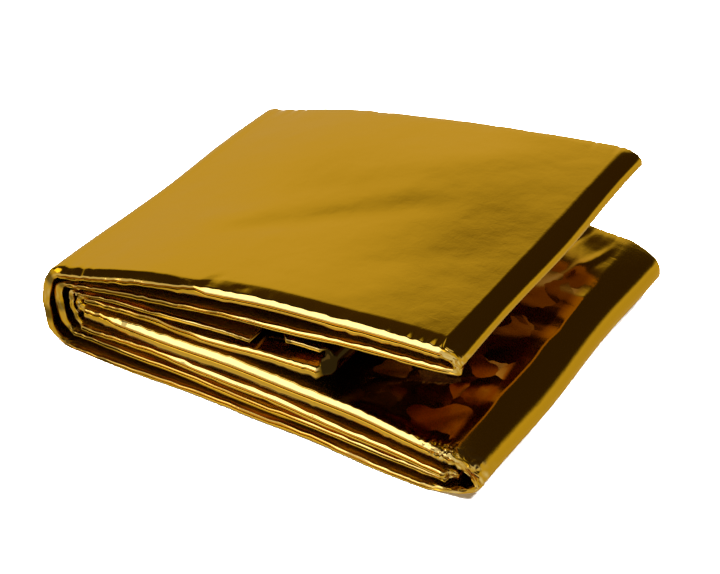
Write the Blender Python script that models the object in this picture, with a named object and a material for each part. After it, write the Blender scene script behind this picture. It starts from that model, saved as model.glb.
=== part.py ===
"""Emergency foil blanket: one metallised film sheet, folded to a pocket pack that lies half open.

The sheet is folded lengthwise to a strip of many plies, and the strip is folded back and forth
into nine leaves. Each leaf is therefore a springy bundle of plies, one to four millimetres thick.
The pack lies on a surface: X runs from its spine on the left to its open mouth on the right,
Y from its near edge to its far edge, and Z up. The origin is at the bottom centre of its box.
"""
from collections import namedtuple
from math import cos, pi, sin

import bmesh
import bpy

# ---------------------------------------------------------------- driving sizes, in millimetres
MM = 0.001                # one millimetre in Blender's metres
STRIP_WIDTH = 103.0       # depth of the pack, from its near edge to its far edge
LEAF_STEPS = 9            # mesh steps along one leaf
FOLD_STEPS = 8            # mesh steps round one fold
DEPTH_STEPS = 9           # mesh steps between the rounded near and far edges
FREE_END_SHARE = 0.55     # thickness of the strip's two free ends, as a share of their leaf's

# The near and far edges of every leaf are themselves folds, so they are rounded:
# distance in from the edge, and the share of the full thickness there.
Edge = namedtuple("Edge", "inset share")
ROUNDED_EDGE = (
    Edge(0.0, 0.30),
    Edge(0.6, 0.70),
    Edge(1.8, 0.92),
    Edge(4.0, 1.00),
)

# One row for each leaf, in the order in which the strip runs through the pack. Even rows run to
# the right and odd rows run back to the left. The heights of the underside and the thickness are
# those at 0, 1/4, 1/2, 3/4 and 1 of the leaf.
# near and far tell how far its edges stand out past the strip's width, sway is the height of its
# slow ripples from near to far, and lift is how far its far right corner springs up.
Leaf = namedtuple("Leaf", "name left right underside thickness near far sway lift")
LEAVES = (
    Leaf(
        "upper tuck", 44.0, 85.0, (24.2, 25.2, 26.0, 26.7, 27.2), (0.9, 1.0, 1.0, 1.1, 1.2),
        -2.0, 0.2, 0.10, 0.0,
    ),
    Leaf(
        "pad", 13.5, 85.0, (16.5, 17.7, 18.4, 19.6, 20.3), (1.3, 1.7, 2.1, 3.2, 5.4),
        -0.1, -0.4, 0.20, 0.0,
    ),
    Leaf(
        "mouth floor", 13.5, 122.0, (12.1, 12.3, 12.3, 11.7, 10.3), (3.2, 4.5, 4.7, 4.2, 3.3),
        0.3, 2.4, 0.35, 1.7,
    ),
    Leaf(
        "base", 7.0, 116.0, (0.0, 0.0, 0.0, 0.0, 0.0), (0.9, 1.7, 2.2, 2.1, 1.6),
        0.2, 1.8, 0.00, 0.0,
    ),
    Leaf(
        "cover", 7.0, 118.0, (22.2, 28.8, 33.8, 37.8, 39.8), (2.8, 3.4, 3.7, 3.7, 3.6),
        0.4, 0.3, 0.55, 1.7,
    ),
    Leaf(
        "mouth roof", 8.0, 118.0, (19.5, 24.8, 29.5, 33.0, 35.6), (1.2, 1.5, 1.7, 1.8, 1.8),
        0.0, -0.5, 0.30, 1.7,
    ),
    Leaf(
        "lower inner", 8.0, 120.5, (3.9, 4.7, 4.3, 3.9, 3.7), (1.3, 1.7, 1.9, 1.6, 1.1),
        -0.2, 0.4, 0.08, 0.2,
    ),
    Leaf(
        "upper inner", 12.0, 120.5, (7.7, 8.1, 6.9, 6.1, 5.5), (1.4, 2.4, 2.9, 2.5, 1.8),
        0.1, 0.8, 0.08, 0.3,
    ),
    Leaf(
        "lower tuck", 11.0, 65.5, (18.5, 20.2, 21.4, 22.6, 23.5), (0.8, 1.1, 1.2, 1.2, 1.2),
        -0.2, 0.0, 0.10, 0.0,
    ),
)

# One row for each fold between two leaves, in the same order: how far it reaches out past the
# leaves' ends at each eighth of its turn, from its top to its foot, at the near and at the far
# edge, and its thickness. ripple makes it uneven in between, and toe is how much further its foot
# reaches at the near corner, where the plies are pinched square.
Fold = namedtuple("Fold", "reach far_reach thickness ripple toe")
FOLDS = (
    Fold((1.6, 3.6, 4.3, 4.4, 4.0, 3.2, 1.4), (1.6, 3.6, 4.3, 4.4, 4.0, 3.2, 1.4), 1.6, 0.3, 0.0),
    Fold((1.3, 3.0, 3.8, 3.9, 3.6, 2.8, 1.2), (1.3, 3.0, 3.8, 3.9, 3.6, 2.8, 1.2), 1.2, 0.2, 0.0),
    Fold((1.8, 5.0, 9.0, 11.7, 10.9, 7.8, 3.8), (2.2, 8.0, 11.2, 12.9, 12.0, 8.8, 4.2), 1.9, 0.4, 0.0),
    Fold((3.2, 5.6, 7.2, 8.5, 7.8, 7.3, 4.0), (3.8, 6.4, 8.0, 9.0, 8.2, 7.5, 4.0), 1.5, 0.5, 0.0),
    Fold((0.8, 2.9, 5.0, 5.7, 4.2, 2.4, 0.9), (1.0, 4.3, 5.6, 5.8, 4.2, 2.4, 0.9), 2.0, 0.3, 3.6),
    Fold((2.2, 4.9, 6.1, 6.4, 5.9, 5.1, 2.9), (2.0, 4.5, 5.6, 5.8, 4.9, 4.0, 2.4), 1.3, 0.4, 0.0),
    Fold((0.9, 2.0, 2.7, 2.9, 2.7, 2.0, 0.9), (1.0, 2.2, 3.0, 3.3, 3.0, 2.2, 1.0), 1.4, 0.2, 0.0),
    Fold((1.7, 3.4, 3.7, 3.9, 3.7, 2.9, 1.3), (1.7, 3.4, 3.7, 3.9, 3.7, 2.9, 1.3), 1.1, 0.2, 0.0),
)
TOE_DEPTH = 0.18          # share of the strip's width over which a fold's toe dies away
TOE_DEPTH = 0.18          # share of the strip's width over which a fold's toe dies away

# The strip narrows where it turns round the open side, which rounds the far corner there.
CORNER_START = 119.0      # x at which the far corner begins to draw in
CORNER_REACH = 14.0       # length of the corner along X
CORNER_CUT = 1.8          # how much the far edge has drawn in at the fold itself
FAR_SETTLE = 0.985        # height of the far edge as a share of the near edge's

FILM_GOLD = (0.479, 0.238, 0.013, 1.0)    # linear colour of the gold side of the film


# ---------------------------------------------------------------- curves through short tables
def curve_through(values, share):
    """Smooth curve through evenly spaced values, at a share from 0 to 1 of its length."""
    last = len(values) - 1
    index = min(int(share * last), last - 1)
    local = share * last - index
    before = values[index - 1] if index > 0 else 2 * values[0] - values[1]
    after = values[index + 2] if index + 2 <= last else 2 * values[last] - values[last - 1]
    start = values[index]
    end = values[index + 1]
    return 0.5 * (
        2 * start
        + (end - before) * local
        + (2 * before - 5 * start + 4 * end - after) * local ** 2
        + (3 * start - before - 3 * end + after) * local ** 3
    )


def blend(start, end, share):
    """Value a share of the way from start to end."""
    return start + (end - start) * share


def smooth_step(value):
    """0 below 0, 1 above 1, and a smooth rise between."""
    value = min(max(value, 0.0), 1.0)
    return value * value * (3 - 2 * value)


# ---------------------------------------------------------------- the strip's path
def leaf_station(number, share, depth):
    """x, underside and top of one leaf, a share of the way from its left end to its right end.

    depth runs from 0 at the near edge to 1 at the far edge.
    """
    leaf = LEAVES[number]
    settle = blend(1.0, FAR_SETTLE, depth)
    ripple = sin(2.3 * pi * depth + 1.9 * number + 1.7 * share) * sin(pi * (0.15 + 0.8 * share))
    lift = leaf.lift * depth ** 2 * share ** 3
    underside = curve_through(leaf.underside, share) * settle + leaf.sway * ripple + lift
    thickness = curve_through(leaf.thickness, share)
    return blend(leaf.left, leaf.right, share), underside, underside + thickness


def leaf_path(number, depth):
    """(outer point, inner point) pairs along one leaf, each point as (x, z)."""
    runs_right = number % 2 == 0
    pairs = []
    for step in range(LEAF_STEPS + 1):
        share = step / LEAF_STEPS if runs_right else 1 - step / LEAF_STEPS
        x, underside, top = leaf_station(number, share, depth)
        outer, inner = (top, underside) if runs_right else (underside, top)
        pairs.append(((x, outer), (x, inner)))
    return pairs


def fold_path(number, depth):
    """(outer point, inner point) pairs round the fold after one leaf, without the leaves' ends."""
    fold = FOLDS[number]
    on_right = number % 2 == 0
    end_share = 1.0 if on_right else 0.0
    direction = 1.0 if on_right else -1.0
    first = leaf_station(number, end_share, depth)
    second = leaf_station(number + 1, end_share, depth)
    falls = first[1] > second[1]
    upper, lower = (first, second) if falls else (second, first)
    ripple = fold.ripple * sin(3.1 * pi * depth + 2.2 * number)
    toe = fold.toe * max(0.0, 1 - depth / TOE_DEPTH) ** 2
    hollow_share = 1 - fold.thickness / max(fold.reach)
    pairs = []
    for step in range(1, FOLD_STEPS):
        turn = step / FOLD_STEPS if falls else 1 - step / FOLD_STEPS
        fall = 0.5 - 0.5 * cos(pi * turn)
        foot = smooth_step((turn - 0.5) / 0.35) * smooth_step((1 - turn) / 0.12)
        near_reach = curve_through((0.0,) + fold.reach + (0.0,), turn)
        far_reach = curve_through((0.0,) + fold.far_reach + (0.0,), turn)
        reach = blend(near_reach, far_reach, depth ** 2) + ripple * sin(pi * turn) + toe * foot
        base = blend(upper[0], lower[0], fall)
        convex = (base + direction * reach, blend(upper[2], lower[1], fall))
        hollow = (base + direction * reach * hollow_share, blend(upper[1], lower[2], fall))
        # the outer side of the strip is the convex one where the strip turns clockwise
        pairs.append((convex, hollow) if falls == on_right else (hollow, convex))
    return pairs


def strip_path(depth):
    """The whole strip at one depth: (leaf number, outer point, inner point) for each station."""
    stations = []
    for number in range(len(LEAVES)):
        stations += [(number, outer, inner) for outer, inner in leaf_path(number, depth)]
        if number < len(FOLDS):
            turns = fold_path(number, depth)
            half = len(turns) // 2
            for step, (outer, inner) in enumerate(turns):
                stations.append((number if step < half else number + 1, outer, inner))
    return stations


def edge_lines(number, x):
    """y of the near and the far edge of a leaf at x."""
    leaf = LEAVES[number]
    wander = 0.35 * sin(0.061 * x + 1.3 * number) + 0.2 * sin(0.17 * x + 2.1 * number)
    into_corner = max(0.0, x - CORNER_START) / CORNER_REACH
    near = -leaf.near + wander
    far = STRIP_WIDTH + leaf.far + wander - CORNER_CUT * into_corner ** 2
    return near, far


# ---------------------------------------------------------------- the solid
def depth_stations():
    """(distance in from an edge, share between the rounded edges, thickness share), near to far."""
    near = [(edge.inset, 0.0, edge.share) for edge in ROUNDED_EDGE]
    between = [(None, step / DEPTH_STEPS, 1.0) for step in range(1, DEPTH_STEPS)]
    far = [(edge.inset, 1.0, edge.share) for edge in reversed(ROUNDED_EDGE)]
    return near + between + far


def station_depth(station, near, far):
    """y of a depth station between two edge lines."""
    inset, share, _ = station
    shoulder = ROUNDED_EDGE[-1].inset
    if inset is None:
        return blend(near + shoulder, far - shoulder, share)
    return near + inset if share == 0.0 else far - inset


def sheet_points():
    """Points of the outer and the inner side of the strip, as grids [depth][station]."""
    outer_rows = []
    inner_rows = []
    for station in depth_stations():
        depth = station_depth(station, 0.0, STRIP_WIDTH) / STRIP_WIDTH
        path = strip_path(depth)
        outer_row = []
        inner_row = []
        for index, (number, outer, inner) in enumerate(path):
            share = station[2]
            if index in (0, len(path) - 1):
                share *= FREE_END_SHARE
            middle = ((outer[0] + inner[0]) / 2, (outer[1] + inner[1]) / 2)
            y = station_depth(station, *edge_lines(number, middle[0]))
            for row, point in ((outer_row, outer), (inner_row, inner)):
                x = blend(middle[0], point[0], share)
                z = blend(middle[1], point[1], share)
                row.append((x, y, z))
        outer_rows.append(outer_row)
        inner_rows.append(inner_row)
    return outer_rows, inner_rows


def film_material():
    """Gold metallised film."""
    material = bpy.data.materials.new("gold_metallised_film")
    material.use_nodes = True
    shader = material.node_tree.nodes["Principled BSDF"]
    shader.inputs["Base Color"].default_value = FILM_GOLD
    shader.inputs["Metallic"].default_value = 1.0
    shader.inputs["Roughness"].default_value = 0.25
    return material


def folded_blanket():
    """The folded strip: a flat grid, thickened by an extrusion, with each side laid on the path."""
    outer_rows, inner_rows = sheet_points()
    depth_count = len(outer_rows)
    path_count = len(outer_rows[0])
    mesh = bpy.data.meshes.new("foil_blanket")
    bm = bmesh.new()
    bmesh.ops.create_grid(bm, x_segments=path_count - 1, y_segments=depth_count - 1, size=0.5)
    thickened = bmesh.ops.extrude_face_region(bm, geom=bm.faces[:])
    inner_side = {item for item in thickened["geom"] if isinstance(item, bmesh.types.BMVert)}
    for vert in bm.verts:
        along = round((vert.co.x + 0.5) * (path_count - 1))
        across = round((vert.co.y + 0.5) * (depth_count - 1))
        rows = inner_rows if vert in inner_side else outer_rows
        vert.co = rows[across][along]
    low = [min(vert.co[axis] for vert in bm.verts) for axis in range(3)]
    high = [max(vert.co[axis] for vert in bm.verts) for axis in range(3)]
    for vert in bm.verts:
        vert.co.x -= (low[0] + high[0]) / 2
        vert.co.y -= (low[1] + high[1]) / 2
        vert.co.z -= low[2]
        vert.co *= MM
    bmesh.ops.recalc_face_normals(bm, faces=bm.faces[:])
    bm.to_mesh(mesh)
    bm.free()
    mesh.shade_smooth()
    mesh.materials.append(film_material())
    blanket = bpy.data.objects.new("foil_blanket", mesh)
    bpy.context.scene.collection.objects.link(blanket)
    return blanket


for old in list(bpy.data.objects):
    bpy.data.objects.remove(old, do_unlink=True)
folded_blanket()
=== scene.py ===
"""Emergency foil blanket, dressed: the folded strip of gold film with its rims, creases and crumples.

One strip runs back and forth through nine leaves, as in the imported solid, which this piece
replaces. Its near and far rims are rounded and grooved where the plies fold over, and its faces
carry the slack, the creases and the crushed corners of thin film.
"""

from collections import namedtuple
from math import cos, exp, hypot, pi, radians, sin

import bmesh
import bpy
from bpy.props import FloatProperty, FloatVectorProperty, PointerProperty
from mathutils import Matrix, Vector, noise


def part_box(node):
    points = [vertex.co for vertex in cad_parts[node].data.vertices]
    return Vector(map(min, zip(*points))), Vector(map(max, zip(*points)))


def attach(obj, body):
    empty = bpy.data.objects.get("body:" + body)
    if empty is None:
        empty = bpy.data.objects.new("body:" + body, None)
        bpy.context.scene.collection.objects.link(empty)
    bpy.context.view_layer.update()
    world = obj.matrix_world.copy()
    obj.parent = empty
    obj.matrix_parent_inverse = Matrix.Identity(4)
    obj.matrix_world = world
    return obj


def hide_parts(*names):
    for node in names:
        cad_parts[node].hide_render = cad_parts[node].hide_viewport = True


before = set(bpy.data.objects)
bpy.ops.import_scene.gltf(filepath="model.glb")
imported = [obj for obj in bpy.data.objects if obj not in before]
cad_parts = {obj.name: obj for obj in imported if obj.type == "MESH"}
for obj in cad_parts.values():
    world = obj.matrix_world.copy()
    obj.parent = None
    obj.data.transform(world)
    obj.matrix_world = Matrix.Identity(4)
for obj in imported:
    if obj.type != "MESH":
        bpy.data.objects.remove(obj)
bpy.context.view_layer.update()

bl_info = {
    "name": "Foil blanket dresser",
    "version": (1, 0, 0),
    "blender": (4, 5, 0),
    "location": "View3D > Sidebar > Foil blanket",
    "description": "Models a folded emergency foil blanket with its creases, and its plain stage",
    "category": "Object",
}

MM = 0.001
STRIP_LOW = (-2.28, -0.90)      # lowest x and y of the strip in its own measure, in millimetres

# ---------------------------------------------------------------- the folded strip
# One row for each leaf, in the order in which the strip runs through the pack. Even rows run to
# the right and odd rows run back to the left. The heights of the underside and the thickness are
# those at 0, 1/4, 1/2, 3/4 and 1 of the leaf.
# near and far tell how far its edges stand out past the strip's width, sway is the height of its
# slow ripples from near to far, and lift is how far its far right corner springs up.
Leaf = namedtuple("Leaf", "name left right underside thickness near far sway lift")
LEAVES = (
    Leaf("upper tuck", 44.0, 85.0, (24.2, 25.2, 26.0, 26.7, 27.2), (0.9, 1.0, 1.0, 1.1, 1.2),
         -2.0, 0.2, 0.10, 0.0),
    Leaf("pad", 13.5, 85.0, (16.5, 17.7, 18.4, 19.6, 20.3), (1.3, 1.7, 2.1, 3.2, 5.4),
         -0.1, -0.4, 0.20, 0.0),
    Leaf("mouth floor", 13.5, 122.0, (12.1, 12.3, 12.3, 11.7, 10.3), (3.2, 4.5, 4.7, 4.2, 3.3),
         0.3, 2.4, 0.35, 1.7),
    Leaf("base", 7.0, 116.0, (0.0, 0.0, 0.0, 0.0, 0.0), (0.9, 1.7, 2.2, 2.1, 1.6),
         0.2, 1.8, 0.00, 0.0),
    Leaf("cover", 7.0, 118.0, (22.2, 28.8, 33.8, 37.8, 39.8), (2.8, 3.4, 3.7, 3.7, 3.6),
         0.4, 0.3, 0.55, 1.7),
    Leaf("mouth roof", 8.0, 118.0, (19.5, 24.8, 29.5, 33.0, 35.6), (1.2, 1.5, 1.7, 1.8, 1.8),
         0.0, -0.5, 0.30, 1.7),
    Leaf("lower inner", 8.0, 120.5, (3.9, 4.7, 4.3, 3.9, 3.7), (1.3, 1.7, 1.9, 1.6, 1.1),
         -0.2, 0.4, 0.08, 0.2),
    Leaf("upper inner", 12.0, 120.5, (7.7, 8.1, 6.9, 6.1, 5.5), (1.4, 2.4, 2.9, 2.5, 1.8),
         0.1, 0.8, 0.08, 0.3),
    Leaf("lower tuck", 11.0, 65.5, (18.5, 20.2, 21.4, 22.6, 23.5), (0.8, 1.1, 1.2, 1.2, 1.2),
         -0.2, 0.0, 0.10, 0.0),
)

# One row for each fold between two leaves, in the same order: how far it reaches out past the
# leaves' ends at each eighth of its turn, from its top to its foot, at the near and at the far
# edge, and its thickness. ripple makes it uneven in between, and toe is how much further its foot
# reaches at the near corner, where the plies are pinched square.
Fold = namedtuple("Fold", "reach far_reach thickness ripple toe")
FOLDS = (
    Fold((1.6, 3.6, 4.3, 4.4, 4.0, 3.2, 1.4), (1.6, 3.6, 4.3, 4.4, 4.0, 3.2, 1.4), 3.6, 0.3, 0.0),
    Fold((1.3, 3.0, 3.8, 3.9, 3.6, 2.8, 1.2), (1.3, 3.0, 3.8, 3.9, 3.6, 2.8, 1.2), 1.8, 0.2, 0.0),
    Fold((1.8, 5.0, 9.0, 11.7, 10.9, 7.8, 3.8), (2.2, 8.0, 11.2, 12.9, 12.0, 8.8, 4.2), 1.9, 0.4, 0.0),
    Fold((3.2, 5.6, 7.2, 8.5, 7.8, 7.3, 4.0), (3.8, 6.4, 8.0, 9.0, 8.2, 7.5, 4.0), 2.5, 0.5, 0.0),
    Fold((0.8, 2.9, 5.0, 5.7, 4.2, 2.4, 0.9), (1.7, 4.2, 5.5, 5.8, 4.2, 2.4, 0.9), 2.0, 0.3, 3.6),
    Fold((2.2, 4.9, 6.1, 6.4, 5.9, 5.1, 2.9), (2.0, 4.5, 5.6, 5.8, 4.9, 4.0, 2.4), 3.0, 0.4, 0.0),
    Fold((0.9, 2.0, 2.7, 2.9, 2.7, 2.0, 0.9), (1.0, 2.2, 3.0, 3.3, 3.0, 2.2, 1.0), 1.4, 0.2, 0.0),
    Fold((1.7, 3.4, 3.7, 3.9, 3.7, 2.9, 1.3), (1.7, 3.4, 3.7, 3.9, 3.7, 2.9, 1.3), 1.4, 0.2, 0.0),
)
TOE_DEPTH = 0.18          # share of the strip's width over which a fold's toe dies away
CORNER_START = 119.0      # x at which the strip's far corner begins to draw in round the open side
CORNER_REACH = 14.0       # length of that corner along X
CORNER_CUT = 1.8          # how much the far edge has drawn in at the fold itself
FAR_SETTLE = 0.985        # height of the far edge as a share of the near edge's
TUCK_CORNER = 76.0        # left of here the upper tuck's near edge draws back into the pack
TUCK_SLANT = 8.0          # length along X over which it draws back
TUCK_DRAW_BACK = 9.0      # how far it draws back

# One row for each leaf, in the order of LEAVES: how its film lies. All sizes are in millimetres.
# steps are the mesh steps along it. Its near rim has a lower lobe that curves in by low at its foot
# and reaches up to the groove (a share of the thickness), a groove of groove_depth, an upper lobe
# set back by set_back that leans back as a bright bevel, and a shoulder that lies drop below the top
# and runs back to rim_top. Left of widens the bevel is only a line and the shoulder runs back to
# rim_left.
# fall_left and fall_right are the shares of the rest of the thickness by which the shoulder drops
# further towards the leaf's two ends. slack is how loose the outer and inner film is.
Finish = namedtuple(
    "Finish",
    "steps low groove groove_depth set_back drop fall_left fall_right rim_top rim_left widens "
    "slack_out slack_in",
)
FINISHES = (
    Finish(28, 0.20, 0.55, 0.3, 0.1, 0.20, 0.0, 0.00, 1.4, 1.5, 60.0, 0.03, 0.03),
    Finish(56, 0.25, 0.50, 0.7, 0.2, 0.10, 0.0, 0.42, 6.0, 6.0, 50.0, 0.05, 0.06),
    Finish(140, 0.35, 0.49, 1.1, 0.3, 0.40, 0.0, 0.00, 3.0, 3.2, 22.0, 0.30, 0.06),
    Finish(56, 0.35, 0.50, 0.8, 0.2, 0.35, 0.0, 0.00, 2.4, 2.6, 90.0, 0.00, 0.04),
    Finish(100, 0.35, 0.36, 1.0, 0.3, 0.75, 0.42, 0.00, 4.4, 2.2, 52.0, 0.14, 0.08),
    Finish(72, 0.25, 0.46, 0.7, 0.2, 0.25, 0.0, 0.00, 1.8, 2.0, 62.0, 0.22, 0.06),
    Finish(56, 0.30, 0.48, 0.7, 0.2, 0.30, 0.0, 0.00, 2.0, 2.2, 80.0, 0.03, 0.03),
    Finish(56, 0.40, 0.46, 1.0, 0.2, 0.40, 0.0, 0.00, 2.6, 2.8, 40.0, 0.04, 0.03),
    Finish(32, 0.20, 0.50, 0.3, 0.1, 0.20, 0.0, 0.00, 1.6, 1.7, 45.0, 0.03, 0.03),
)
LOBE_HIGHLIGHT = 0.12           # how much painted highlight a rim's lower lobe gets, where 1 is the bevel's full painted highlight
GROOVE_HEIGHT = 0.55       # height of the groove between a rim's two lobes, in millimetres
BEVEL_LEAN = 0.50          # how far the bevel leans back for each unit of its height
THIN_BEVEL = 0.12          # height of the bevel where it is only a line, as a share of the thickness
SHOULDER_CURVE = 1.25      # 1 runs straight back from the shoulder, 2 curves down evenly
STREAK_HEIGHT = 0.06       # height of the fine streaks that run along each rim
SHOULDER_STEP = 20.0       # mesh step of the near rim at which the bevel ends in the shoulder
GROOVE_STEP = 12.9         # mesh step at which the groove is deepest
HIGHLIGHT_STEPS = (13.5, 21.0)  # mesh steps between which the bevel gets its painted highlight
FOOT_STEP = 3.4            # mesh step at which the painted shade at the rim's foot ends
NARROW_HIGHLIGHT = 0.45         # how much painted highlight the bevel gets where it is only a line
WIDENING = 2.5             # length along X over which the bevel widens
FOLD_ROUNDING = 0.16       # how far a fold's own rim curves in at its two sides, per unit of thickness
# How far each fold's own rim draws back from the leaves' rims, in the order of FOLDS.
FOLD_DRAW_BACK = (1.4, 1.2, 0.6, 0.3, 0.5, 0.8, 2.0, 1.2)

# Creases pressed into the outer side of a leaf: from one end to the other in the strip's own measure,
# half width, and height, which is negative for a trough. sharp is 1 for a knife edge, 0 for a soft one.
Crease = namedtuple("Crease", "x0 y0 x1 y1 width height sharp")
CREASES = {
    # long slack ripples across its middle, and the notches in its near rim
    "cover": (
        Crease(30.0, 30.0, 80.0, 64.0, 6.0, 0.22, 0.0),
        Crease(38.0, 26.0, 92.0, 58.0, 5.0, -0.20, 0.0),
        Crease(52.0, 62.0, 98.0, 88.0, 7.0, 0.18, 0.0),
        Crease(78.0, 20.0, 108.0, 40.0, 6.0, -0.12, 0.0),
        Crease(51.0, -1.0, 54.0, 6.0, 0.9, -0.35, 0.5),
        Crease(61.0, -1.0, 62.5, 3.0, 0.7, -0.40, 0.5),
    ),
    # facets between sharp creases
    "mouth floor": (
        Crease(92.0, 10.0, 119.0, 25.0, 2.8, 0.9, 1.0),
        Crease(96.0, 8.0, 119.0, 27.0, 6.0, 0.55, 1.0),
        Crease(90.0, 12.0, 121.0, 16.0, 5.0, -0.55, 1.0),
        Crease(104.0, 3.0, 121.0, 30.0, 5.0, 0.45, 1.0),
        Crease(88.0, 22.0, 118.0, 40.0, 7.0, -0.60, 0.9),
        Crease(100.0, 34.0, 122.0, 52.0, 6.0, 0.50, 1.0),
        Crease(98.0, 56.0, 124.0, 58.0, 4.0, -0.40, 1.0),
        Crease(96.0, 66.0, 125.0, 72.0, 3.0, 0.45, 1.0),
        Crease(100.0, 78.0, 124.0, 78.0, 4.0, -0.40, 1.0),
        Crease(98.0, 88.0, 122.0, 84.0, 3.5, 0.45, 1.0),
        Crease(96.0, 97.0, 124.0, 93.0, 3.0, -0.35, 0.8),
        Crease(111.0, 70.0, 120.0, 98.0, 1.8, 0.50, 1.0),
        Crease(103.0, 78.0, 112.0, 104.0, 1.5, -0.45, 1.0),
        Crease(116.0, 82.0, 108.0, 102.0, 1.6, 0.40, 1.0),
    ),
    # two wide facets
    "mouth roof": (
        Crease(84.0, 10.0, 118.0, 40.0, 7.0, 0.40, 0.8),
        Crease(80.0, 50.0, 118.0, 70.0, 7.0, -0.40, 0.8),
    ),
}

# Crushed places: centre in the strip's own measure, radius, and how far the film is thrown about.
Crush = namedtuple("Crush", "x y z radius height")
CRUSHES = (
    Crush(121.5, 0.0, 40.0, 4.5, 1.0),
    Crush(127.0, 0.0, 9.5, 6.0, 1.5),
    Crush(119.0, 0.0, 13.5, 5.0, 0.8),
    Crush(112.0, 0.0, 15.5, 3.5, 0.6),
    Crush(122.0, 0.0, 2.5, 6.0, 1.0),
    Crush(0.5, 0.0, 22.0, 4.0, 0.6),
    Crush(3.0, 0.0, 14.0, 4.0, 0.6),
    Crush(9.0, 0.0, 12.5, 5.0, 0.9),
    Crush(11.0, 0.0, 18.5, 4.0, 0.8),
    Crush(6.0, 0.0, 3.0, 4.0, 0.5),
)

SLOW_PITCH = 0.035         # slow waves of the loose film per millimetre
QUICK_PITCH = 0.13         # quick waves per millimetre
NICK_PITCH = 0.42          # nicks per millimetre of rim
FINE_NICK_PITCH = 1.3      # fine nicks per millimetre of rim
NICK_START = 0.15          # noise above which the rim is nicked
NICK_LENGTH = 1.6          # how far a nick runs in from the rim
CRUSH_PITCH = 0.95         # crushed folds per millimetre
CRUSH_THROW = 1.6          # how far fully crushed film is thrown, in millimetres
CRUSH_LEAN = 0.25          # taken off each throw, which would only go right and up without it
CRUSH_SEED = 7             # seed of the throws, which would differ each run without it
GLINT_PITCH = 1.7          # painted glints per crushed fold
GLINT_START = 0.12         # noise above which crushed film shows a painted glint
NEAR_RIM_STEPS = 30        # mesh steps round the near rim
FAR_RIM_STEPS = 12         # mesh steps round the far rim
SIDE_STEPS = 46            # mesh steps across one side, from rim to rim
NEAR_CROWD = 1.3           # how strongly those steps crowd towards the near rim
FOLD_STEPS = 16            # mesh steps round one fold, two to each of its facets
FACETS = 0.75              # how far a fold's curve is broken into flat facets
END_CROWD = 0.10           # how strongly the steps crowd towards both ends
FAR_RIM_DEPTH = 1.2        # how far the far rim curves in
GAP_SHADE = 0.1            # painted shade on the film between two leaves
MOUTH_SHADE = 0.12         # painted shade on the floor and roof of the mouth
MOUTH_FAR_SHADE = 0.6      # painted shade in the far half of the mouth, under the roof
MOUTH_EASE = 0.48          # share of the crumpling that is gone halfway into the mouth
MOUTH_END_EASE = 0.9       # share of the rest that is gone at the mouth's far end
PAD_END_SHADE = 0.9        # painted shade at the pad's right end, deep in the mouth
SHADED_FACET = 0.85          # painted shade on every third facet of the spine's folds
SPINE_END = 14.0           # right end of the spine's folds, whose facets take painted shade in turns
MOUTH_RANGE = (78.0, 122.5)    # x at which the film begins to open into the mouth, and its end
MOUTH_HALFWAY = 26.0       # y at which the mouth's film begins to lie calmer
MOUTH_END = 78.0           # y at which it begins to lie nearly smooth
TUCKED_END = 54.0          # x at which the pad and the upper tuck begin to get painted shade


def curve_through(values, share):
    """Smooth curve through evenly spaced values, at a share from 0 to 1 of its length."""
    last = len(values) - 1
    index = min(int(share * last), last - 1)
    local = share * last - index
    before = values[index - 1] if index > 0 else 2 * values[0] - values[1]
    after = values[index + 2] if index + 2 <= last else 2 * values[last] - values[last - 1]
    start = values[index]
    end = values[index + 1]
    return 0.5 * (
        2 * start
        + (end - before) * local
        + (2 * before - 5 * start + 4 * end - after) * local ** 2
        + (3 * start - before - 3 * end + after) * local ** 3
    )


def facets_through(values, share):
    """Straight runs through evenly spaced values, at a share from 0 to 1 of their length."""
    last = len(values) - 1
    index = min(int(share * last), last - 1)
    local = share * last - index
    return values[index] + (values[index + 1] - values[index]) * local


def blend(start, end, share):
    """Value a share of the way from start to end."""
    return start + (end - start) * share


def crowded(share):
    """A share moved so that even steps lie closer together towards both ends."""
    return share - END_CROWD * sin(2 * pi * share)


def smooth_step(value):
    """0 below 0, 1 above 1, and a smooth rise between."""
    value = min(max(value, 0.0), 1.0)
    return value * value * (3 - 2 * value)


def leaf_station(number, share, depth):
    """x, underside and top of one leaf, a share of the way from its left end to its right end."""
    leaf = LEAVES[number]
    settle = blend(1.0, FAR_SETTLE, depth)
    ripple = sin(2.3 * pi * depth + 1.9 * number + 1.7 * share) * sin(pi * (0.15 + 0.8 * share))
    lift = leaf.lift * depth ** 2 * share ** 3
    underside = curve_through(leaf.underside, share) * settle + leaf.sway * ripple + lift
    thickness = curve_through(leaf.thickness, share)
    return blend(leaf.left, leaf.right, share), underside, underside + thickness


# A station of the strip: its leaf, the next leaf and the share of the way to it, how much it
# bends, and the points (x, z) of its outer and inner side.
Station = namedtuple("Station", "leaf next share bend outer inner")


def leaf_path(number, depth):
    """Stations along one leaf."""
    runs_right = number % 2 == 0
    steps = FINISHES[number].steps
    stations = []
    for step in range(steps + 1):
        share = crowded(step / steps if runs_right else 1 - step / steps)
        x, underside, top = leaf_station(number, share, depth)
        outer, inner = (top, underside) if runs_right else (underside, top)
        stations.append(Station(number, number, 0.0, 0.0, (x, outer), (x, inner)))
    return stations


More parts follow.
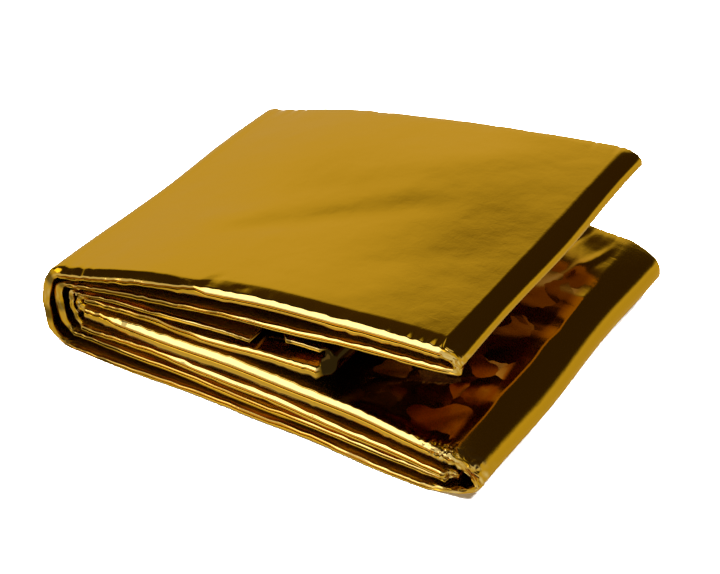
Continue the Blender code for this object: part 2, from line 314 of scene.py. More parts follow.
def fold_path(number, depth):
    """Stations round the fold after one leaf, without the leaves' ends."""
    fold = FOLDS[number]
    on_right = number % 2 == 0
    end_share = 1.0 if on_right else 0.0
    direction = 1.0 if on_right else -1.0
    first = leaf_station(number, end_share, depth)
    second = leaf_station(number + 1, end_share, depth)
    falls = first[1] > second[1]
    upper, lower = (first, second) if falls else (second, first)
    ripple = fold.ripple * sin(3.1 * pi * depth + 2.2 * number)
    toe = fold.toe * max(0.0, 1 - depth / TOE_DEPTH) ** 2
    hollow_share = 1 - fold.thickness / max(fold.reach)
    reaches = [blend(near, far, depth ** 2) for near, far in zip(fold.reach, fold.far_reach)]
    knots = [0.0] + reaches + [0.0]
    stations = []
    for step in range(1, FOLD_STEPS):
        turn = step / FOLD_STEPS if falls else 1 - step / FOLD_STEPS
        fall = 0.5 - 0.5 * cos(pi * turn)
        bend = sin(pi * turn)
        foot = smooth_step((turn - 0.5) / 0.35) * smooth_step((1 - turn) / 0.12)
        reach = blend(curve_through(knots, turn), facets_through(knots, turn), FACETS)
        reach += ripple * bend + toe * foot
        base = blend(upper[0], lower[0], fall)
        convex = (base + direction * reach, blend(upper[2], lower[1], fall))
        hollow = (base + direction * reach * hollow_share, blend(upper[1], lower[2], fall))
        # the outer side of the strip is the convex one where the strip turns clockwise
        outer, inner = (convex, hollow) if falls == on_right else (hollow, convex)
        stations.append(Station(number, number + 1, step / FOLD_STEPS, bend, outer, inner))
    return stations


def strip_path(depth):
    """All stations of the strip at one depth, from its upper free end to its lower one."""
    stations = []
    for number in range(len(LEAVES)):
        stations += leaf_path(number, depth)
        if number < len(FOLDS):
            stations += fold_path(number, depth)
    return stations


def edge_line(station, x, side, width):
    """y of the near (side 0) or far (side 1) edge of a station at x."""
    values = []
    for number in (station.leaf, station.next):
        leaf = LEAVES[number]
        wander = 0.35 * sin(0.061 * x + 1.3 * number) + 0.2 * sin(0.17 * x + 2.1 * number)
        into_corner = max(0.0, x - CORNER_START) / CORNER_REACH
        near = -leaf.near + wander
        if number == 0:
            near += TUCK_DRAW_BACK * smooth_step((TUCK_CORNER - x) / TUCK_SLANT)
        far = width + leaf.far + wander - CORNER_CUT * into_corner ** 2
        values.append((near, far)[side])
    return blend(values[0], values[1], smooth_step(station.share))


def finish_value(station, field):
    """A column of the finish table at a station, blended between its two leaves."""
    first = getattr(FINISHES[station.leaf], field)
    second = getattr(FINISHES[station.next], field)
    return blend(first, second, smooth_step(station.share))


# ---------------------------------------------------------------- unevenness of the film
def crease_height(name, x, y):
    """Height of the listed creases of one leaf's outer side at a point."""
    height = 0.0
    for crease in CREASES.get(name, ()):
        along_x = crease.x1 - crease.x0
        along_y = crease.y1 - crease.y0
        length = hypot(along_x, along_y)
        share = ((x - crease.x0) * along_x + (y - crease.y0) * along_y) / length ** 2
        away = abs((x - crease.x0) * along_y - (y - crease.y0) * along_x) / length
        if share < -0.1 or share > 1.1 or away > 3 * crease.width:
            continue
        fade = smooth_step((share + 0.1) / 0.3) * smooth_step((1.1 - share) / 0.3)
        soft = exp(-(away / crease.width) ** 2)
        knife = max(0.0, 1 - away / crease.width)
        height += crease.height * fade * blend(soft, knife, crease.sharp)
    return height


def crushed(point):
    """How strongly the film is crushed and thrown about at a point."""
    thrown = 0.0
    for crush in CRUSHES:
        away = hypot(point[0] - crush.x, point[1] - crush.y, point[2] - crush.z) / crush.radius
        if away < 1.6:
            thrown += crush.height * exp(-2.0 * away ** 2)
    return thrown


def slack_height(point, slack, seed):
    """Height of the loose film's slow and quick waves at a point."""
    place = Vector((point[0], point[1], point[2] + 40.0 * seed))
    slow = noise.noise(place * SLOW_PITCH)
    quick = noise.noise(place * QUICK_PITCH + Vector((7.0, 3.0, seed)))
    return slack * (1.1 * slow + 0.35 * quick)


def rim_streaks(x, turn, seed, inset):
    """Fine streaks along a rim, where the plies under the film show through."""
    place = Vector((0.05 * x, 7.0 * turn, 1.7 * seed))
    return STREAK_HEIGHT * noise.noise(place) * exp(-inset / 3.0)


def rim_nicks(x, seed, inset):
    """Short dents that run in from a rim where the plies' folds are pinched."""
    pinch = noise.noise(Vector((NICK_PITCH * x, 3.7 * seed, 0.5)))
    fine = noise.noise(Vector((FINE_NICK_PITCH * x, 1.9 * seed, 4.5)))
    dent = -0.85 * max(0.0, pinch - NICK_START) - 0.40 * max(0.0, fine - NICK_START) + 0.07 * fine
    return dent * exp(-inset / NICK_LENGTH)


# ---------------------------------------------------------------- the dressed sheet
# A point of the strip's cross-section: its part (near rim, far rim or side), how far round that
# part it lies, the share across the strip, and its place through the thickness, -1 inner, 1 outer.
Place = namedtuple("Place", "part turn across through")


def cross_section():
    """Places round the strip's cross-section: near rim, outer side, far rim, inner side."""
    near_turns = [step / NEAR_RIM_STEPS for step in range(NEAR_RIM_STEPS + 1)]
    far_turns = [step / FAR_RIM_STEPS for step in range(FAR_RIM_STEPS + 1)]
    shares = [(step / SIDE_STEPS) ** NEAR_CROWD for step in range(1, SIDE_STEPS)]
    near = [Place("near rim", turn, 0.0, 0.0) for turn in near_turns]
    outer = [Place("side", 0.0, share, 1.0) for share in shares]
    far = [Place("far rim", turn, 1.0, sin(pi * (0.5 - turn))) for turn in far_turns]
    inner = [Place("side", 0.0, share, -1.0) for share in reversed(shares)]
    return near + outer + far + inner


def leaf_rim(number, thickness, x, turn):
    """Height (0 bottom, 1 top) and inset of a leaf's near rim, a share of the way up round it."""
    finish = FINISHES[number]
    leaf = LEAVES[number]
    waver = 0.05 * noise.noise(Vector((0.11 * x, 3.1 * number, 2.5)))
    wide = smooth_step((x - finish.widens) / WIDENING + 0.5)
    towards_left = max(0.0, (finish.widens - x) / (finish.widens - leaf.left))
    towards_right = max(0.0, (x - finish.widens) / (leaf.right - finish.widens))
    fall = finish.fall_left * smooth_step(3 * towards_left) + finish.fall_right * towards_right
    drop = finish.drop + fall * (thickness - finish.drop)
    ragged = 0.30 * noise.noise(Vector((0.75 * x, 5.3 * number, 8.5))) / thickness
    shoulder = min(max(1 - drop / thickness, 0.22), 0.95) + waver + ragged
    groove_half = 0.5 * GROOVE_HEIGHT / thickness
    bevel_low = blend(shoulder - THIN_BEVEL, min(finish.groove + groove_half, shoulder - THIN_BEVEL), wide)
    groove = max(bevel_low - groove_half, 0.3 * shoulder)
    lobe_top = max(groove - groove_half, 0.6 * groove)
    depth = min(finish.groove_depth, 0.35 * thickness)
    low = min(finish.low, 0.16 * thickness)
    bevel_foot = finish.set_back
    bevel_head = bevel_foot + BEVEL_LEAN * thickness * (shoulder - bevel_low)
    # the rim's profile: mesh step round it, height and inset
    knots = (
        (0.0, 0.0, low),
        (3.0, 0.34 * lobe_top, 0.35 * low),
        (6.0, 0.48 * lobe_top, 0.05 * low),
        (9.0, 0.78 * lobe_top, 0.0),
        (11.0, lobe_top, 0.08 * depth),
        (12.0, blend(lobe_top, groove, 0.4), 0.7 * depth),
        (13.0, groove, depth),
        (14.0, blend(groove, bevel_low, 0.6), blend(depth, bevel_foot, 0.3)),
        (15.0, bevel_low, bevel_foot),
        (SHOULDER_STEP, shoulder, bevel_head),
    )
    rim_top = blend(finish.rim_left, finish.rim_top, wide)
    step = turn * NEAR_RIM_STEPS
    if step > SHOULDER_STEP:
        share = (step - SHOULDER_STEP) / (NEAR_RIM_STEPS - SHOULDER_STEP)
        rise = 1 - (1 - share) ** SHOULDER_CURVE
        return blend(shoulder, 1.0, rise), blend(bevel_head, max(rim_top, bevel_head), share)
    for before, after in zip(knots, knots[1:]):
        if step <= after[0]:
            share = (step - before[0]) / (after[0] - before[0])
            return blend(before[1], after[1], share), blend(before[2], after[2], share)


def near_rim(station, thickness, x, turn):
    """Place through the thickness (-1 inner, 1 outer), inset, painted highlight and painted shade of the near
    rim.
    """
    sides = []
    for number in (station.leaf, station.next):
        upwards = number % 2 == 0
        way_up = turn if upwards else 1 - turn
        height, inset = leaf_rim(number, thickness, x, way_up)
        through = 2 * height - 1
        step = way_up * NEAR_RIM_STEPS
        wide = smooth_step((x - FINISHES[number].widens) / WIDENING + 0.5)
        # painted highlight: a pale tint on the bevel that catches the front light, faint on the lower lobe
        pale = max(LOBE_HIGHLIGHT, smooth_step((step - HIGHLIGHT_STEPS[0]) / 1.5))
        pale *= smooth_step((HIGHLIGHT_STEPS[1] - step) / 1.5) * blend(NARROW_HIGHLIGHT, 1.0, wide)
        # painted shade in the groove between the rim's two lobes and at the rim's foot
        groove = max(0.0, 0.8 - abs(step - GROOVE_STEP) / 1.8, smooth_step((FOOT_STEP - step) / 2.0))
        sides.append((through if upwards else -through, inset, pale, groove))
    share = smooth_step(station.share)
    through, inset, pale, groove = (blend(first, second, share) for first, second in zip(*sides))
    pale *= 1 - 0.8 * station.bend
    groove *= max(0.0, 1 - 2.5 * station.bend)
    plain = FOLD_ROUNDING * thickness * through ** 4 + FOLD_DRAW_BACK[min(station.leaf, len(FOLDS) - 1)]
    inset = blend(inset, plain, min(1.0, 2.5 * station.bend))
    if station.leaf == 0:
        pale *= max(0.0, 1 - 3 * station.bend)
    return through, inset, pale, groove


def sheet_point(station, place, width):
    """A point of the dressed sheet in the strip's measure, and its inset, through, painted highlight and
    painted shade.
    """
    outer = Vector((station.outer[0], 0.0, station.outer[1]))
    inner = Vector((station.inner[0], 0.0, station.inner[1]))
    middle = (outer + inner) / 2
    half = (outer - inner) / 2
    outward = half.normalized()
    thickness = 2 * half.length
    near = edge_line(station, middle.x, 0, width)
    far = edge_line(station, middle.x, 1, width)
    through = place.through
    pale = 0.0
    groove = 0.0
    if place.part == "near rim":
        through, rim_inset, pale, groove = near_rim(station, thickness, middle.x, place.turn)
        y = near + rim_inset
    elif place.part == "far rim":
        y = far - FAR_RIM_DEPTH * (1 - cos(pi * (place.turn - 0.5)))
    else:
        side_turn = 1.0 if through > 0 else 0.0
        rim_inset = near_rim(station, thickness, middle.x, side_turn)[1]
        y = blend(near + rim_inset, far - FAR_RIM_DEPTH, place.across)
    inset = min(y - near, far - y)
    point = middle + half * through
    point.y = y
    seed = station.leaf + station.share
    is_outer = through > 0
    slack = finish_value(station, "slack_out" if is_outer else "slack_in")
    calm = 1 - 0.7 * station.bend
    height = slack_height(point, slack, seed) * calm
    if is_outer:
        height += crease_height(LEAVES[station.leaf].name, point.x, y) * (1 - station.share)
    height += rim_nicks(point.x + 60 * station.bend, seed + (0.3 if is_outer else 0.0), inset) * (
        0.5 + 0.5 * min(half.length, 1.5)
    )
    height += rim_streaks(point.x, place.turn, seed, inset)
    thrown = crushed(point)
    if thrown > 0.01:
        spot = point * CRUSH_PITCH
        jumble = noise.noise_vector(spot + Vector((seed, 0.0, 9.0)))
        throw = Vector([abs(part) - CRUSH_LEAN for part in jumble])
        throw.y = abs(throw.y)
        point += throw * thrown * CRUSH_THROW * min(half.length * 1.2, 1.0)
        # painted glints: pale specks on crushed film, where its points would catch the light
        glint = noise.noise(spot * GLINT_PITCH + Vector((4.0, seed, 0.0)))
        pale = max(pale, smooth_step(5 * (glint - GLINT_START)) * min(1.0, 1.5 * thrown))
    point += outward * height * abs(through)
    return point, inset, through, pale, groove


# What the mesh tells the film's material at each point: rim is the painted highlight, which also sharpens the
# gloss, and shade the painted shade.
FILM_LAYERS = ("rim", "shade", "gap", "mouth", "crush")

# How the film looks at a point: shade is its painted shade, gap how strongly the plies' edges streak it
# between two leaves, and mouth how crumpled it is in the open mouth, which also sets its painted red
# reflection.
Look = namedtuple("Look", "shade gap mouth")


def leaf_look(number, is_outer, x):
    """Look of one side of a leaf."""
    name = LEAVES[number].name
    if is_outer and name in ("cover", "base"):
        return Look(0.0, 0.0, 0.0)
    if is_outer and name in ("mouth floor", "mouth roof"):
        opened = smooth_step((x - MOUTH_RANGE[0]) / 20.0) * smooth_step((MOUTH_RANGE[1] - x) / 4.0)
        crumpled = opened if name == "mouth floor" else 0.4 * opened
        return Look(blend(GAP_SHADE, MOUTH_SHADE, opened), 1.0 - opened, crumpled)
    if name in ("pad", "upper tuck"):
        # painted shade on the pad and the upper tuck towards their right end, deep in the mouth
        end_shade = smooth_step((x - TUCKED_END) / 10.0)
        return Look(blend(GAP_SHADE, PAD_END_SHADE, end_shade), 1.0 - 0.8 * end_shade, 0.0)
    return Look(GAP_SHADE, 1.0, 0.0)


def film_look(station, through, inset, x, y, pale):
    """Look of the film at a point of the dressed sheet."""
    first = leaf_look(station.leaf, through > 0, x)
    second = leaf_look(station.next, through > 0, x)
    share = smooth_step(station.share)
    # painted shade between the leaves, in the mouth and at the pad's end, from 2 mm behind the rim
    shade = blend(first.shade, second.shade, share) * smooth_step((inset - 2.0) / 4.0)
    # painted shade on the ring where the upper tuck folds into the pad
    if station.leaf == 0:
        shade = max(shade, min(1.0, 3 * station.bend))
    elif x < SPINE_END and station.bend > 0:
        # painted shade on every third facet of the spine's folds
        is_shaded_facet = int(station.share * FOLD_STEPS / 2 + station.leaf) % 3 == 0
        facet_shade = SHADED_FACET if is_shaded_facet else 0.0
        shade = max(shade, facet_shade * min(1.0, 4 * station.bend) * exp(-inset / 3.0))
    gap = blend(first.gap, second.gap, share) * exp(-max(inset - 1.0, 0.0) / 8.0)
    gap *= smooth_step((inset - 0.6) / 1.0) * (1 - station.bend) * (1 - min(1.0, 2 * pale))
    mouth = blend(first.mouth, second.mouth, share) * smooth_step((inset - 2.0) / 4.0)
    mouth *= max(0.0, 1 - 3 * station.bend)
    halfway = smooth_step((y - MOUTH_HALFWAY) / 20.0)
    far_end = smooth_step((y - MOUTH_END) / 14.0)
    # painted shade in the far half of the mouth, under the roof
    shade = max(shade, MOUTH_FAR_SHADE * mouth * halfway * (1 - far_end))
    mouth *= (1 - MOUTH_EASE * halfway) * (1 - MOUTH_END_EASE * far_end)
    return Look(shade, gap, mouth)


def pack_corner():
    """Where the strip's own measure begins in the frame."""
    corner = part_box("foil_blanket")[0]
    return Vector((corner[0] - STRIP_LOW[0] * MM, corner[1] - STRIP_LOW[1] * MM, corner[2]))


def dressed_mesh(settings):
    """Mesh of the whole strip: a grid swept along its path, closed round its cross-section."""
    places = cross_section()
    width = settings.strip_width / MM
    paths = {place.across: strip_path(place.across) for place in places}
    path_count = len(paths[0.0])
    loop_count = len(places)
    shift = pack_corner()
    noise.seed_set(CRUSH_SEED)
    bm = bmesh.new()
    bmesh.ops.create_grid(bm, x_segments=path_count - 1, y_segments=loop_count, size=0.5)
    uv_layer = bm.loops.layers.uv.new("film")
    layers = [bm.verts.layers.float.new(name) for name in FILM_LAYERS]
    uv_of = {}
    for vert in bm.verts:
        along = round((vert.co.x + 0.5) * (path_count - 1))
        round_loop = round((vert.co.y + 0.5) * loop_count)
        place = places[round_loop % loop_count]
        station = paths[place.across][along]
        point, inset, through, pale, groove = sheet_point(station, place, width)
        vert.co = point * MM + shift
        vert.co.z = max(vert.co.z, shift.z)
        look = film_look(station, through, inset, point.x, point.y, pale)
        crush = min(crushed(point), 1.0) ** 2
        # the rim layer takes the painted highlight, the shade layer the painted shade of the leaves and
        # grooves
        values = (pale, max(look.shade, groove), look.gap, look.mouth, crush)
        for layer, value in zip(layers, values):
            vert[layer] = value
        uv_of[vert] = (along / path_count, round_loop / loop_count)
    for face in bm.faces:
        for loop in face.loops:
            loop[uv_layer].uv = uv_of[loop.vert]
    bmesh.ops.remove_doubles(bm, verts=bm.verts[:], dist=1e-7)
    open_edges = [edge for edge in bm.edges if edge.is_boundary]
    bmesh.ops.holes_fill(bm, edges=open_edges, sides=0)
    if any(edge.is_boundary for edge in bm.edges):
        raise RuntimeError("a seam of the sheet is open")
    bmesh.ops.recalc_face_normals(bm, faces=bm.faces[:])
    for face in bm.faces:
        face.smooth = True
    mesh = bpy.data.meshes.new("foil_blanket_dressed")
    bm.to_mesh(mesh)
    bm.free()
    return mesh


# ---------------------------------------------------------------- finishes
MIX_UNDER = 6              # sockets of a colour mix, which it shares with mixes of other kinds
MIX_OVER = 7
MIX_RESULT = 2
FACET_BEND = 0.008         # how far noise bends the edges of the crumpled facets, in metres
FACET_SHIFT = (0.0015, 0.0085, 0.0)     # where the facets' pattern begins, in metres
FACET_START = 0.4          # how crumpled the mouth's film is where it begins to break into facets
MOUTH_BLUR = 0.4           # share of the crumpled film's further blur that the mouth has
MOUTH_REFLECTION_TINT = 0.75          # how far the painted red reflection tints the film where it is crumpled in the mouth


def linear(hex_colour):
    """Linear RGBA of an sRGB hex colour such as "#D6A13A"."""
    channels = [int(hex_colour[place:place + 2], 16) / 255 for place in (1, 3, 5)]
    return tuple(c / 12.92 if c <= 0.04045 else ((c + 0.055) / 1.055) ** 2.4 for c in channels) + (1.0,)


def opaque(colour):
    """RGBA of a linear RGB colour."""
    return tuple(colour) + (1.0,)


def add_node(tree, kind, links=(), **values):
    """Adds a node. values are its settings, or its inputs by name; links are (input, output) pairs."""
    node = tree.nodes.new(kind)
    for name, value in values.items():
        if hasattr(node, name):
            setattr(node, name, value)
        else:
            node.inputs[name.replace("_", " ")].default_value = value
    for target, source in links:
        tree.links.new(source, node.inputs[target])
    return node


def gold_film(settings):
    """Vacuum-metallised polyester film, lacquered gold: a mirror blurred by the tiny wrinkles that folding
    leaves in thin film, with crisp lines at its folds; its colour holds a painted red reflection in the
    mouth, a painted highlight at tight rims and painted shade between the leaves and in grooves."""
    material = bpy.data.materials.new("vacuum_metallised_gold_polyester")
    material.use_nodes = True
    tree = material.node_tree
    shader = tree.nodes["Principled BSDF"]
    place = add_node(tree, "ShaderNodeTexCoord").outputs["Object"]
    rim, shade, gap, mouth, crush = (
        add_node(tree, "ShaderNodeAttribute", attribute_name=name).outputs["Fac"] for name in FILM_LAYERS
    )
    # cockle: the slow waviness of a slack sheet, about 14 mm from crest to crest
    cockle = add_node(tree, "ShaderNodeTexNoise", [("Vector", place)], Scale=70.0, Detail=2.0)
    # wrinkles: fine creases left by folding, 2 to 3 mm apart
    wrinkle = add_node(
        tree, "ShaderNodeTexNoise", [("Vector", place)], Scale=380.0, Detail=3.0, Distortion=0.6,
    )
    # grain: the film's finest crinkle, drawn at 0.5 mm so that it shows
    grain = add_node(tree, "ShaderNodeTexNoise", [("Vector", place)], Scale=2000.0, Detail=1.0)
    # plies: the edges of the plies inside a leaf, long along the leaf and 1 mm apart across it
    along = add_node(tree, "ShaderNodeMapping", [("Vector", place)], Scale=(45.0, 900.0, 900.0))
    plies = add_node(tree, "ShaderNodeTexNoise", [("Vector", along.outputs["Vector"])], Scale=1.0, Detail=2.0)
    ply_height = add_node(tree, "ShaderNodeMath", [(0, plies.outputs["Fac"]), (1, gap)], operation="MULTIPLY")
    reliefs = (
        (cockle.outputs["Fac"], settings.cockle_height),
        (wrinkle.outputs["Fac"], settings.wrinkle_height),
        (grain.outputs["Fac"], settings.grain_height),
        (ply_height.outputs[0], settings.ply_height),
    )
    under = []
    for height, rise in reliefs:
        bump = add_node(tree, "ShaderNodeBump", [("Height", height)] + under, Strength=1.0, Distance=rise)
        under = [("Normal", bump.outputs["Normal"])]
    # facets: crumpled film breaks into flat places, 9 mm across, each of which leans its own way
    bent = add_node(tree, "ShaderNodeTexNoise", [("Vector", place)], Scale=110.0, Detail=2.0)
    shifted = add_node(
        tree, "ShaderNodeVectorMath", [(0, bent.outputs["Color"]), (2, place)], operation="MULTIPLY_ADD",
    )
    shifted.inputs[1].default_value = (FACET_BEND, FACET_BEND, FACET_BEND)
    laid_out = add_node(
        tree, "ShaderNodeMapping", [("Vector", shifted.outputs["Vector"])], Location=FACET_SHIFT,
    )
    facets = add_node(
        tree, "ShaderNodeTexVoronoi", [("Vector", laid_out.outputs["Vector"])], Scale=110.0,
    )
    lean = add_node(tree, "ShaderNodeVectorMath", [(0, facets.outputs["Color"])], operation="SUBTRACT")
    lean.inputs[1].default_value = (0.5, 0.5, 0.5)
    amount = add_node(
        tree, "ShaderNodeMapRange", [("Value", mouth)], From_Min=FACET_START, To_Max=settings.facet_lean,
    )
    scaled = add_node(
        tree, "ShaderNodeVectorMath",
        [("Vector", lean.outputs["Vector"]), ("Scale", amount.outputs["Result"])], operation="SCALE",
    )
    leaning = add_node(
        tree, "ShaderNodeVectorMath", [(0, bump.outputs["Normal"]), (1, scaled.outputs["Vector"])],
        operation="ADD",
    )
    faceted = add_node(tree, "ShaderNodeVectorMath", [(0, leaning.outputs["Vector"])], operation="NORMALIZE")
    # spikes: film crushed at a corner, in sharp ridges 2 to 3 mm apart
    spikes = add_node(
        tree, "ShaderNodeTexNoise", [("Vector", place)], noise_type="RIDGED_MULTIFRACTAL", Scale=420.0,
        Detail=2.0, Distortion=0.4,
    )
    spike_height = add_node(
        tree, "ShaderNodeMath", [(0, spikes.outputs["Fac"]), (1, crush)], operation="MULTIPLY",
    )
    spiked = add_node(
        tree, "ShaderNodeBump", [("Height", spike_height.outputs[0]), ("Normal", faceted.outputs["Vector"])],
        Strength=1.0, Distance=settings.spike_height,
    )
    # blur: tight rims are sharper than flat film, and crumpled film between the leaves is duller
    tone = add_node(
        tree, "ShaderNodeMapRange", [("Value", rim)], From_Max=0.6, To_Min=settings.roughness,
        To_Max=settings.rim_roughness,
    )
    mouth_blur = add_node(tree, "ShaderNodeMapRange", [("Value", mouth)], To_Max=MOUTH_BLUR)
    crumpled = add_node(
        tree, "ShaderNodeMath", [(0, gap), (1, mouth_blur.outputs["Result"])], operation="MAXIMUM",
    )
    blur = add_node(
        tree, "ShaderNodeMath", [(0, crumpled.outputs[0]), (2, tone.outputs["Result"])],
        operation="MULTIPLY_ADD",
    )
    blur.inputs[1].default_value = settings.crumpled_blur
    # colour: gold on the flat faces, painted red reflection in the mouth, painted highlight at tight rims,
    # painted shade in recesses
    # painted reflection: the film deepens to red in the mouth, for light bounced from leaf to leaf
    mirrored = add_node(tree, "ShaderNodeMapRange", [("Value", mouth)], From_Max=0.5, To_Max=MOUTH_REFLECTION_TINT)
    colour = add_node(tree, "ShaderNodeRGB").outputs["Color"]
    colour.default_value = opaque(settings.film_colour)
    for share, over in (
        (mirrored.outputs["Result"], settings.painted_reflection_colour),
        (rim, settings.painted_highlight_colour),
        (shade, settings.painted_shade_colour),
    ):
        mix = add_node(tree, "ShaderNodeMix", [(0, share), (MIX_UNDER, colour)], data_type="RGBA")
        mix.inputs[MIX_OVER].default_value = opaque(over)
        colour = mix.outputs[MIX_RESULT]
    tree.links.new(colour, shader.inputs["Base Color"])
    tree.links.new(blur.outputs[0], shader.inputs["Roughness"])
    tree.links.new(spiked.outputs["Normal"], shader.inputs["Normal"])
    shader.inputs["Metallic"].default_value = 1.0
    shader.inputs["Specular Tint"].default_value = linear("#FFEDCB")
    return material


def pale_floor():
    """Matt seamless paper: even, without gloss."""
    material = bpy.data.materials.new("matt_seamless_paper")
    material.use_nodes = True
    shader = material.node_tree.nodes["Principled BSDF"]
    shader.inputs["Base Color"].default_value = linear("#F4F4F5")
    shader.inputs["Roughness"].default_value = 0.9
    shader.inputs["Specular IOR Level"].default_value = 0.1
    return material


# ---------------------------------------------------------------- settings
class FilmSettings(bpy.types.PropertyGroup):
    """The gold film's colours, with its painted highlight, reflection and shade, and its relief."""

    strip_width: FloatProperty(
        name="Strip width", description="Depth of the folded strip", default=0.103, unit="LENGTH",
    )
    film_colour: FloatVectorProperty(
        name="Film", description="Reflected colour of the film's flat faces", subtype="COLOR",
        default=linear("#CE9A16")[:3], min=0, max=1,
    )
    # painted reflection: the red of light bounced between the mouth's leaves
    painted_reflection_colour: FloatVectorProperty(
        name="Mouth", description="Reflected colour of the film where leaf mirrors leaf in the open mouth",
        subtype="COLOR", default=linear("#AE5A08")[:3], min=0, max=1,
    )
    # painted highlight: a paler tint where the film is folded tight, for the bright reflection of the front
    # light
    painted_highlight_colour: FloatVectorProperty(
        name="Rim", description="Reflected colour of the film where it is folded tight", subtype="COLOR",
        default=linear("#EECE7C")[:3], min=0, max=1,
    )
    # painted shade: dark bronze mixed into the film where shade falls, in gaps, grooves, the mouth and the
    # pad's end
    painted_shade_colour: FloatVectorProperty(
        name="Inside", description="Reflected colour of the crumpled film between the leaves",
        subtype="COLOR", default=linear("#32240A")[:3], min=0, max=1,
    )
    roughness: FloatProperty(
        name="Roughness", description="Blur of the film's mirror", default=0.11, min=0, max=1,
        subtype="FACTOR",
    )
    rim_roughness: FloatProperty(
        name="Rim roughness", description="Blur where the film is folded tight", default=0.05, min=0, max=1,
        subtype="FACTOR",
    )
    crumpled_blur: FloatProperty(
        name="Crumpled blur", description="Further blur between the leaves and in the mouth", default=0.34,
        min=0, max=1, subtype="FACTOR",
    )
    cockle_height: FloatProperty(
        name="Cockle", description="Height of the film's slow waviness", default=0.00016, unit="LENGTH",
    )
    wrinkle_height: FloatProperty(
        name="Wrinkles", description="Height of the fine creases", default=0.000024, unit="LENGTH",
    )
    ply_height: FloatProperty(
        name="Plies", description="Height of the streaks between the leaves", default=0.0003, unit="LENGTH",
    )
    facet_lean: FloatProperty(
        name="Facets", description="How far the crumpled facets in the mouth lean", default=0.75, min=0,
    )
    spike_height: FloatProperty(
        name="Spikes", description="Height of the points at crushed corners", default=0.0006, unit="LENGTH",
    )
    grain_height: FloatProperty(
        name="Grain", description="Height of the finest crinkle", default=0.000006, unit="LENGTH",
    )


class StageSettings(bpy.types.PropertyGroup):
    """Camera and light."""

    lens: FloatProperty(name="Lens", description="Focal length", default=80.7, subtype="DISTANCE_CAMERA")
    camera_place: FloatVectorProperty(
        name="Camera", description="Camera's place from the spine's near corner", subtype="TRANSLATION",
        default=(0.25239, -0.25574, 0.25844),
    )
    camera_yaw: FloatProperty(
        name="Yaw", description="Camera's turn from the pack's depth", subtype="ANGLE",
        default=radians(31.216),
    )
    camera_pitch: FloatProperty(
        name="Pitch", description="How far the camera looks down", subtype="ANGLE", default=radians(34.638),
    )
    sky_strength: FloatProperty(name="Sky", description="Brightness of the low sky", default=0.80, min=0)
    panel_power: FloatProperty(
        name="Front panel", description="Power of the low front panel", default=1.5, min=0,
    )
    top_power: FloatProperty(
        name="Top light", description="Power of the soft top light", default=450.0, min=0,
    )


# ---------------------------------------------------------------- operators
class FOIL_OT_blanket(bpy.types.Operator):
    """Model the folded sheet and give it its film"""

    bl_idname = "foil.blanket"
    bl_label = "Folded blanket"

    def execute(self, context):
        settings = context.scene.foil_film
        mesh = dressed_mesh(settings)
        mesh.materials.append(gold_film(settings))
        blanket = bpy.data.objects.new("foil_blanket_sheet", mesh)
        context.scene.collection.objects.link(blanket)
        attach(blanket, "root")
        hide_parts("foil_blanket")
        return {"FINISHED"}


FLOOR_RADIUS = 4.0         # in metres
FLOOR_DROP = 0.0002        # how far the floor lies below the sheet's lowest face, in metres


def soft_panel(name, place, target, size, power, colour, in_gloss):
    """Rectangular soft light that looks at target, seen either in the gloss or on matt faces alone."""
    data = bpy.data.lights.new(name, "AREA")
    data.shape = "RECTANGLE"
    data.size, data.size_y = size
    data.energy = power
    data.color = colour
    panel = bpy.data.objects.new(name, data)
    panel.location = place
    panel.rotation_euler = (Vector(target) - Vector(place)).to_track_quat("-Z", "Y").to_euler()
    panel.visible_glossy = in_gloss
    panel.visible_diffuse = not in_gloss
    bpy.context.scene.collection.objects.link(panel)


# How bright the room is at each height (0 level, 1 overhead): pale walls under a dark ceiling.
SKY_STOPS = (
    (0.00, 0.90, 0.90, 0.90),
    (0.30, 1.00, 1.00, 1.00),
    (0.42, 0.90, 0.90, 0.90),
    (0.50, 0.68, 0.68, 0.66),
    (0.56, 0.33, 0.31, 0.27),
    (0.63, 0.08, 0.055, 0.03),
    (1.00, 0.05, 0.035, 0.02),
)

# Unlit and lit places of the room: a direction towards each, the cosines of its outer and inner
# edge, and its colour. The last is a soft lamp straight overhead.
UNLIT = (0.05, 0.035, 0.02)
PLACES = (
    ((0.30, 0.72, 0.62), 0.85, 0.93, UNLIT),
    ((-0.717, -0.41, 0.563), 0.905, 0.94, UNLIT),
    ((0.02, 0.12, 0.99), 0.906, 0.956, (0.90, 0.90, 0.88)),
)


def sky(strength):
    """Sky of a room with pale walls and a dark ceiling, with unlit places and a soft lamp."""
    world = bpy.data.worlds.new("studio_room")
    world.use_nodes = True
    bpy.context.scene.world = world
    tree = world.node_tree
    direction = add_node(tree, "ShaderNodeTexCoord").outputs["Generated"]
    parts = add_node(tree, "ShaderNodeSeparateXYZ", [("Vector", direction)])
    ramp = add_node(tree, "ShaderNodeValToRGB", [("Fac", parts.outputs["Z"])])
    while len(ramp.color_ramp.elements) < len(SKY_STOPS):
        ramp.color_ramp.elements.new(0.5)
    for element, (position, *colour) in zip(ramp.color_ramp.elements, SKY_STOPS):
        element.position = position
        element.color = opaque(colour)
    colour = ramp.outputs["Color"]
    for towards, outer_edge, inner_edge, light in PLACES:
        nearness = add_node(tree, "ShaderNodeVectorMath", [(0, direction)], operation="DOT_PRODUCT")
        nearness.inputs[1].default_value = towards
        inside = add_node(
            tree, "ShaderNodeMapRange", [("Value", nearness.outputs["Value"])],
            interpolation_type="SMOOTHSTEP", From_Min=outer_edge, From_Max=inner_edge,
        )
        room = add_node(
            tree, "ShaderNodeMix", [(0, inside.outputs["Result"]), (MIX_UNDER, colour)], data_type="RGBA",
        )
        room.inputs[MIX_OVER].default_value = opaque(light)
        colour = room.outputs[MIX_RESULT]
    background = tree.nodes["Background"]
    tree.links.new(colour, background.inputs["Color"])
    background.inputs["Strength"].default_value = strength


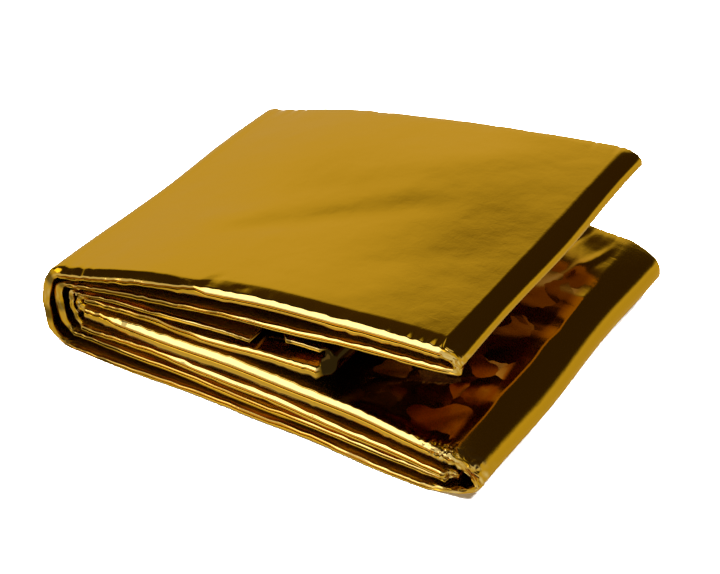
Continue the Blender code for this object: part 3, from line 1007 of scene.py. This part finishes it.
class FOIL_OT_stage(bpy.types.Operator):
    """Set the plain floor, the soft light and the camera"""

    bl_idname = "foil.stage"
    bl_label = "Stage"

    def execute(self, context):
        settings = context.scene.foil_stage
        scene = context.scene
        bm = bmesh.new()
        bmesh.ops.create_circle(
            bm, cap_ends=True, segments=96, radius=FLOOR_RADIUS,
            matrix=Matrix.Translation((0.0, 0.0, -FLOOR_DROP)),
        )
        mesh = bpy.data.meshes.new("floor")
        bm.to_mesh(mesh)
        bm.free()
        mesh.materials.append(pale_floor())
        floor = bpy.data.objects.new("floor", mesh)
        floor.visible_glossy = False
        scene.collection.objects.link(floor)
        sky(settings.sky_strength)
        soft_panel(
            name="top_panel", place=(0.0, 0.0, 1.3), target=(0.0, 0.0, 0.0), size=(1.6, 1.6),
            power=settings.top_power, colour=(1.0, 1.0, 1.0), in_gloss=False,
        )
        soft_panel(
            name="front_panel", place=(-0.31, -0.755, 0.33), target=(0.0, 0.0, 0.03), size=(0.52, 0.56),
            power=settings.panel_power, colour=(1.0, 0.97, 0.92), in_gloss=True,
        )
        camera_data = bpy.data.cameras.new("camera")
        camera_data.lens = settings.lens
        camera_data.sensor_width = 36.0
        camera_data.clip_start = 0.01
        camera = bpy.data.objects.new("camera", camera_data)
        yaw = -settings.camera_yaw
        pitch = settings.camera_pitch
        look = Vector((sin(yaw) * cos(pitch), cos(yaw) * cos(pitch), -sin(pitch)))
        camera.location = Vector(settings.camera_place) + pack_corner()
        camera.rotation_euler = look.to_track_quat("-Z", "Y").to_euler()
        scene.collection.objects.link(camera)
        scene.camera = camera
        scene.view_settings.view_transform = "Standard"
        return {"FINISHED"}


class FOIL_PT_panel(bpy.types.Panel):
    """Sidebar panel with the blanket's settings and operators."""

    bl_label = "Foil blanket"
    bl_space_type = "VIEW_3D"
    bl_region_type = "UI"
    bl_category = "Foil blanket"

    def draw(self, context):
        layout = self.layout
        for settings in (context.scene.foil_film, context.scene.foil_stage):
            for name in settings.__annotations__:
                layout.prop(settings, name)
        layout.operator("foil.blanket")
        layout.operator("foil.stage")


CLASSES = (FilmSettings, StageSettings, FOIL_OT_blanket, FOIL_OT_stage, FOIL_PT_panel)


def register():
    """Registers the classes and hangs the settings on the scene."""
    for cls in CLASSES:
        bpy.utils.register_class(cls)
    bpy.types.Scene.foil_film = PointerProperty(type=FilmSettings)
    bpy.types.Scene.foil_stage = PointerProperty(type=StageSettings)


def unregister():
    """Takes the settings and the classes away again."""
    del bpy.types.Scene.foil_stage
    del bpy.types.Scene.foil_film
    for cls in reversed(CLASSES):
        bpy.utils.unregister_class(cls)


def main():
    """Builds everything."""
    register()
    bpy.ops.foil.blanket()
    bpy.ops.foil.stage()


if __name__ == "__main__":
    main()
